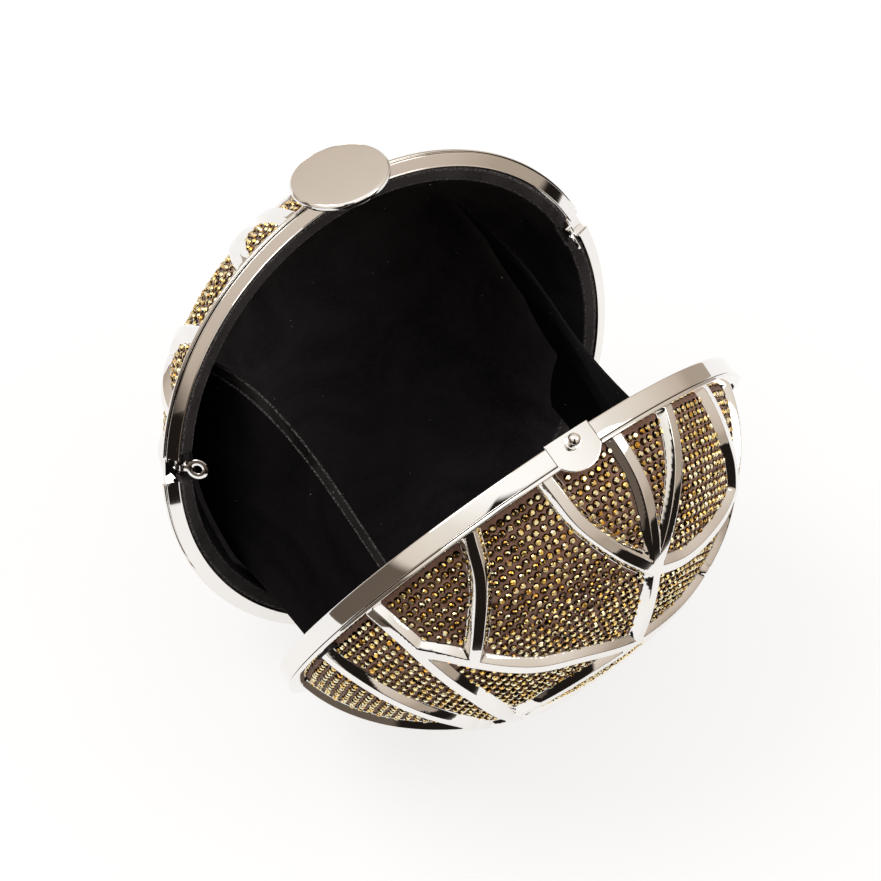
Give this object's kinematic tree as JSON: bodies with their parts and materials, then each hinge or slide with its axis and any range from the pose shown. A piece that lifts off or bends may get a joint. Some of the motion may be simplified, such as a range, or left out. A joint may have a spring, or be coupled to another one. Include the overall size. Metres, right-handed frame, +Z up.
{
  "type": "round hard-shell evening clutch",
  "caption": "Round hinged evening clutch standing open: two domed shells with chrome rims and an irregular bar lattice over crystal cloth, velvet lined, disc clasp.",
  "frame": {"origin": "on the table, midway between the two open shells and on the hinge's middle plane", "axes": "+Z up, +X along the hinge towards the wearer's right when the front shell faces the viewer, +Y from the front shell to the back shell, which carries the clasp disc"},
  "size_m": [0.1508, 0.1596, 0.155],
  "materials": {
    "chrome": "bright polished plate with warm reflections",
    "crystal_cloth": "mauve-brown mesh set with amber and gold faceted crystals",
    "shell_board": "moulded dark shell, hidden between lining and cloth",
    "velvet": "black velvet with a short pile"
  },
  "bodies": {
    "back_shell": {"back_frame": "chrome", "back_lattice": "chrome", "back_crystal_cloth": "crystal_cloth", "back_dome": "shell_board", "back_lining": "velvet", "clasp_neck": "chrome", "hinge_leaf_back": "chrome", "hinge_pin": "chrome", "loop_bracket_left": "chrome", "loop_bracket_right": "chrome", "loop_pin_left": "chrome", "loop_pin_right": "chrome", "gusset_left": "velvet", "gusset_right": "velvet"},
    "front_shell": {"front_frame": "chrome", "front_lattice": "chrome", "front_crystal_cloth": "crystal_cloth", "front_dome": "shell_board", "front_lining": "velvet", "catch_plate": "chrome", "catch_knob": "chrome", "hinge_leaf_front": "chrome"},
    "clasp": {"clasp_disc": "chrome", "clasp_spring_fork": "chrome", "clasp_pin": "chrome"},
    "chain_loop_left": {"chain_loop_left": "chrome"},
    "chain_loop_right": {"chain_loop_right": "chrome"}
  },
  "joints": [
    {"name": "shell_hinge", "type": "hinge", "parent": "back_shell", "child": "front_shell", "pos_m": [0, 0, 0.0016], "axis": [1, 0, 0], "range_deg": [-37.5, 0], "deforming": ["gusset_left", "gusset_right"]},
    {"name": "clasp_tilt", "type": "hinge", "parent": "back_shell", "child": "clasp", "pos_m": [0, 0.05259, 0.14626], "axis": [-1, 0, 0], "range_deg": [0, 8], "stiffness_Nm_per_rad": 0.05},
    {"name": "chain_loop_left_fold", "type": "hinge", "parent": "back_shell", "child": "chain_loop_left", "pos_m": [-0.06729, 0.03218, 0.09141], "axis": [-0.2756, -0.309, -0.9102], "range_deg": [-44.4, 135.6]},
    {"name": "chain_loop_right_fold", "type": "hinge", "parent": "back_shell", "child": "chain_loop_right", "pos_m": [0.06729, 0.03218, 0.09141], "axis": [-0.2756, 0.309, 0.9102], "range_deg": [-72, 108]}
  ]
}
